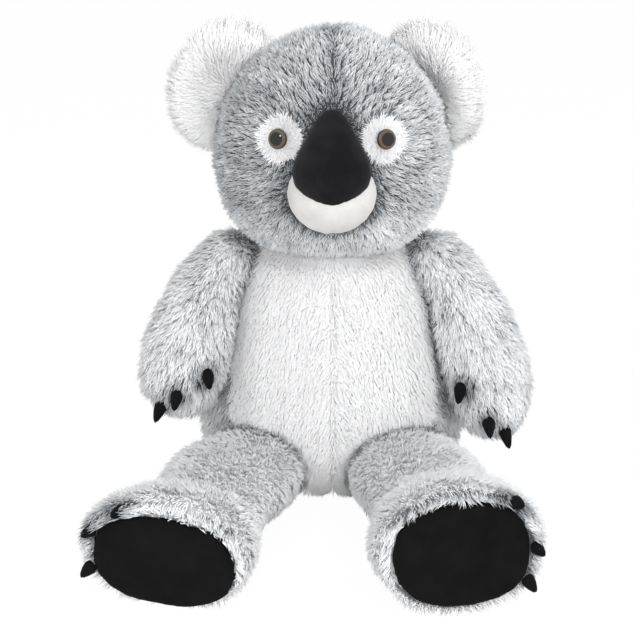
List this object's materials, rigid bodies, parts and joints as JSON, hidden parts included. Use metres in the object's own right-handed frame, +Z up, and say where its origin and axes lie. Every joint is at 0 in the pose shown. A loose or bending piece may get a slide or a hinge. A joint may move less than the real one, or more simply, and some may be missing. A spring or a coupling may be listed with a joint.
{
  "type": "plush koala",
  "caption": "Large sitting plush koala with soft stuffed arms and legs, fluffy white ears, safety eyes, black nose, claws and soles.",
  "frame": {"origin": "middle of the flat seat under the body, on the floor that the toy sits on", "axes": "+Z up, -Y the way the body faces, +X the toy's own left side"},
  "size_m": [0.6687, 0.6761, 0.731],
  "materials": {
    "grey_plush": "frosted pile, charcoal roots and silver tips",
    "white_plush": "long soft pile",
    "cream_velour": "short pile",
    "black_velour": "short matt pile",
    "fibre_fill": "loose polyester fibre",
    "eye_plastic": "polished brown iris with a black pupil",
    "washer_plastic": "plain moulded"
  },
  "bodies": {
    "torso": {"seat_panel": "grey_plush", "belly_panel_right": "white_plush", "back_panel_right": "grey_plush", "belly_panel_left": "white_plush", "back_panel_left": "grey_plush", "body_filling": "fibre_fill"},
    "head": {"head_panel_right": "grey_plush", "head_panel_left": "grey_plush", "head_filling": "fibre_fill", "nose": "black_velour", "muzzle": "cream_velour", "eye_patch_right": "white_plush", "eye_right": "eye_plastic", "eye_washer_right": "washer_plastic", "ear_front_right": "white_plush", "ear_back_right": "white_plush", "eye_patch_left": "white_plush", "eye_left": "eye_plastic", "eye_washer_left": "washer_plastic", "ear_front_left": "white_plush", "ear_back_left": "white_plush"},
    "right_arm": {"arm_panel_front_right": "grey_plush", "arm_panel_back_right": "grey_plush", "arm_filling_right": "fibre_fill", "hand_claw_right_1": "black_velour", "hand_claw_right_2": "black_velour", "hand_claw_right_3": "black_velour"},
    "left_arm": {"arm_panel_front_left": "grey_plush", "arm_panel_back_left": "grey_plush", "arm_filling_left": "fibre_fill", "hand_claw_left_1": "black_velour", "hand_claw_left_2": "black_velour", "hand_claw_left_3": "black_velour"},
    "right_leg": {"leg_panel_inner_right": "grey_plush", "leg_panel_outer_right": "grey_plush", "leg_filling_right": "fibre_fill", "sole_right": "black_velour", "toe_claw_right_1": "black_velour", "toe_claw_right_2": "black_velour", "toe_claw_right_3": "black_velour"},
    "left_leg": {"leg_panel_inner_left": "grey_plush", "leg_panel_outer_left": "grey_plush", "leg_filling_left": "fibre_fill", "sole_left": "black_velour", "toe_claw_left_1": "black_velour", "toe_claw_left_2": "black_velour", "toe_claw_left_3": "black_velour"}
  },
  "joints": [
    {"name": "neck_nod", "type": "hinge", "parent": "torso", "child": "head", "pos_m": [0, 0, 0.342], "axis": [0.9998, -0.0175, 0], "range_deg": [-10, 6]},
    {"name": "right_arm_lift", "type": "hinge", "parent": "torso", "child": "right_arm", "pos_m": [-0.159, -0.018, 0.355], "axis": [-1, 0, 0], "range_deg": [0, 80]},
    {"name": "left_arm_lift", "type": "hinge", "parent": "torso", "child": "left_arm", "pos_m": [0.159, -0.018, 0.355], "axis": [-1, 0, 0], "range_deg": [0, 80]},
    {"name": "right_leg_drop", "type": "hinge", "parent": "torso", "child": "right_leg", "pos_m": [-0.128, -0.112, 0.06], "axis": [1, 0, 0], "range_deg": [-3, 45]},
    {"name": "left_leg_drop", "type": "hinge", "parent": "torso", "child": "left_leg", "pos_m": [0.112, -0.112, 0.06], "axis": [1, 0, 0], "range_deg": [-3, 45]}
  ]
}
